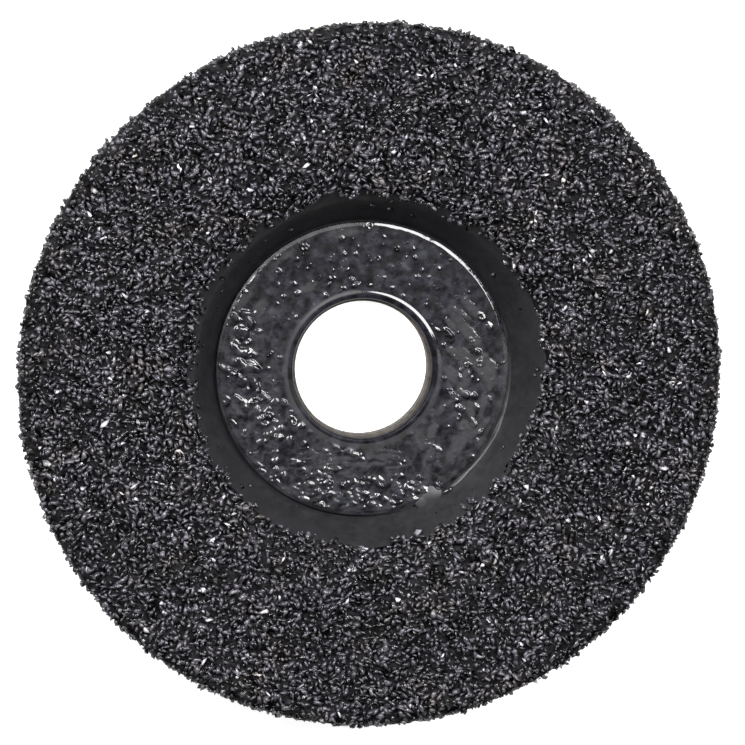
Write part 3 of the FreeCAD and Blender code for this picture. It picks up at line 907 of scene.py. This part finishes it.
def add_drops(skin, drops):
    """Run-off drops of lacquer, sunk into the ring's edge.

    Each is x, y, half its length, width and height, turn, smear and roughness.
    """
    shape = bmesh.new()
    shape.from_mesh(skin.data)
    smear = shape.verts.layers.float["smear"]
    roughness = shape.verts.layers.float["edge_roughness"]
    sheen = shape.verts.layers.float["sheen"]
    uneven = Noise(51)
    for x, y, long, wide, tall, turn, pale, rough in drops:
        centre = Vector((x, y, RING_TOP - DROP_SINK)) * MM
        place = Matrix.Translation(centre)
        place = place @ Matrix.Rotation(turn, 4, "Z")
        place = place @ Matrix.Diagonal((long * MM, wide * MM, tall * MM, 1.0))
        drop = bmesh.ops.create_icosphere(shape, subdivisions=4, radius=1.0, matrix=place)
        for vertex in drop["verts"]:
            vertex[smear] = pale
            vertex[roughness] = rough
            vertex[sheen] = FACE_SHEEN
            shift = 0.16 * float(uneven.octave(np.array(vertex.co[:]) / MM, 0.9))
            vertex.co = centre + (vertex.co - centre) * (1 + shift)
    for face in shape.faces:
        face.smooth = True
    shape.to_mesh(skin.data)
    shape.free()


def make_wall(material):
    """The smooth lacquered wall, which runs on under the edge of the grit.

    Towards FILL_AZIMUTH the lacquer fills the groove between the wall and the ring, to FILL_SINK
    under the ring's top.
    """
    rows, columns = 640, 52
    marks = SECTION.marks
    azimuth = np.linspace(0, 2 * math.pi, rows, endpoint=False)[:, None]
    share = np.linspace(0, 1, columns)[None, :]
    end = SECTION.where(GRIT_START, "wall", "face") + 2.1
    along = end * share + 0 * azimuth
    azimuth = azimuth + 0 * along
    spot, _ = surface_points(SECTION, along, azimuth, 0.0)
    relief = 0.06 * Noise(9).fractal(spot, 2.2, 4)
    lift = FILM + relief * np.clip((along - marks["wall"]) / 0.4, 0, 1)
    points, _ = surface_points(SECTION, along, azimuth, lift)
    fill = 1.6 * np.cos(azimuth - FILL_AZIMUTH) - 0.8 + 0.25 * Noise(81).octave(spot, 2.0)
    fill = np.clip(fill, 0, 1)
    above = points[..., 2] - DISH_FLOOR - fill * (RING_TOP - DISH_FLOOR - FILL_SINK)
    points[..., 2] += 0.5 * (np.sqrt(above ** 2 + 0.03 * fill) - above) * (fill > 0)
    piece(ring_mesh("wall_coat", points), material, "satin_lacquer", "wall_lacquer")


# ---------------------------------------------------------------- the stage
# The camera stands far off, so the view is nearly parallel. Lengths here are in metres.
VIEW_TILT = math.radians(11.0)
VIEW_AZIMUTH = math.radians(139.0)
VIEW_DISTANCE = 3.0
VIEW_TARGET = Vector((0.00037, 0.00022, 0.0084))
FRAME_WIDTH = 0.0884
LIGHT_DISTANCE = 1.0


def aim(direction, distance, target, upward=Vector((0, 1, 0))):
    """World matrix at a distance from a target, looking at it, with upward up in the picture."""
    back = direction.normalized()
    right = upward.cross(back).normalized()
    up = back.cross(right)
    matrix = Matrix((right, up, back)).transposed().to_4x4()
    matrix.translation = target + back * distance
    return matrix


def make_camera():
    """A camera nearly over the disc, leaning towards -X +Y."""
    data = bpy.data.cameras.new("camera")
    camera = bpy.data.objects.new("camera", data)
    bpy.context.collection.objects.link(camera)
    direction = Vector((math.cos(VIEW_AZIMUTH) * math.sin(VIEW_TILT),
                        math.sin(VIEW_AZIMUTH) * math.sin(VIEW_TILT), math.cos(VIEW_TILT)))
    data.lens = data.sensor_width * VIEW_DISTANCE / FRAME_WIDTH
    camera.matrix_world = aim(direction, VIEW_DISTANCE, VIEW_TARGET)
    bpy.context.scene.camera = camera


def softbox(name, azimuth, elevation, width, height, radiance):
    """A soft light a metre off, at an azimuth and elevation in degrees, sized in metres."""
    across, up = math.radians(azimuth), math.radians(elevation)
    direction = Vector((math.cos(up) * math.cos(across), math.cos(up) * math.sin(across),
                        math.sin(up)))
    data = bpy.data.lights.new(name, "AREA")
    data.shape = "RECTANGLE"
    data.size, data.size_y = width, height
    data.energy = radiance * math.pi * width * height
    light = bpy.data.objects.new(name, data)
    light.matrix_world = aim(direction, LIGHT_DISTANCE, Vector((0, 0, 0)), Vector((0, 0, 1)))
    bpy.context.collection.objects.link(light)


def make_stage():
    """A plain pale floor, just under the disc."""
    mesh = bpy.data.meshes.new("floor")
    half, level = 6.0, -0.00002
    corners = [(-half, -half, level), (half, -half, level), (half, half, level),
               (-half, half, level)]
    mesh.from_pydata(corners, [], [(0, 1, 2, 3)])
    floor = bpy.data.objects.new("floor", mesh)
    bpy.context.collection.objects.link(floor)
    shader = Shader("table", Base_Color=(0.35, 0.35, 0.35, 1.0), Roughness=0.7,
                    Emission_Color=(1.0, 1.0, 1.0, 1.0), Emission_Strength=0.9)
    mesh.materials.append(shader.material)


# How light the sky is at each height, from 0 at the horizon to 1 overhead.
CEILING = ((0.3, 0.03), (0.88, 0.16), (0.985, 0.62))


def make_world():
    """A ceiling that is lightest overhead and falls to near black at the horizon."""
    world = bpy.data.worlds.new("studio")
    bpy.context.scene.world = world
    world.use_nodes = True
    nodes, links = world.node_tree.nodes, world.node_tree.links
    place = nodes.new("ShaderNodeTexCoord")
    parts = nodes.new("ShaderNodeSeparateXYZ")
    links.new(place.outputs["Generated"], parts.inputs["Vector"])
    band = nodes.new("ShaderNodeValToRGB")
    band.color_ramp.elements.new(0.5)
    for element, (height, shade) in zip(band.color_ramp.elements, CEILING):
        element.position = height
        element.color = (shade, shade, shade, 1.0)
    links.new(parts.outputs["Z"], band.inputs["Fac"])
    background = nodes["Background"]
    links.new(band.outputs["Color"], background.inputs["Color"])
    background.inputs["Strength"].default_value = 1.0


def make_lights():
    """Two main softboxes and a weaker low one, shown without a filmic curve."""
    softbox("key", 133, 46, 0.55, 0.46, 27.0)
    softbox("side", 37, 55, 0.62, 0.30, 24.0)
    softbox("low", 198, 30, 0.56, 0.26, 2.6)
    bpy.context.scene.view_settings.view_transform = "Standard"
    bpy.context.scene.view_settings.look = "None"


def dress_cad():
    """Materials for the CAD nodes that stay as they are."""
    steel = steel_material()
    back = satin_material("back_lacquer", (0.010, 0.010, 0.011), (0.018, 0.018, 0.019), 0.3, 0.5)
    for node, material in (("steel_dish", steel), ("hub_ring", steel), ("hub_back_lacquer", back),
                           ("wall_back_lacquer", back)):
        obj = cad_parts[node]
        obj.data.materials.clear()
        obj.data.materials.append(material)


def main():
    make_camera()
    make_stage()
    make_world()
    make_lights()
    dress_cad()
    grit = grit_material()
    rng, shapes = make_grit(grit)
    make_stray(grit, rng, shapes)
    make_braze(braze_material())
    make_hub(hub_material())
    make_wall(satin_material("wall_lacquer", (0.0070, 0.0070, 0.0080), (0.0128, 0.0125, 0.0140),
                             0.35, 0.55))


main()
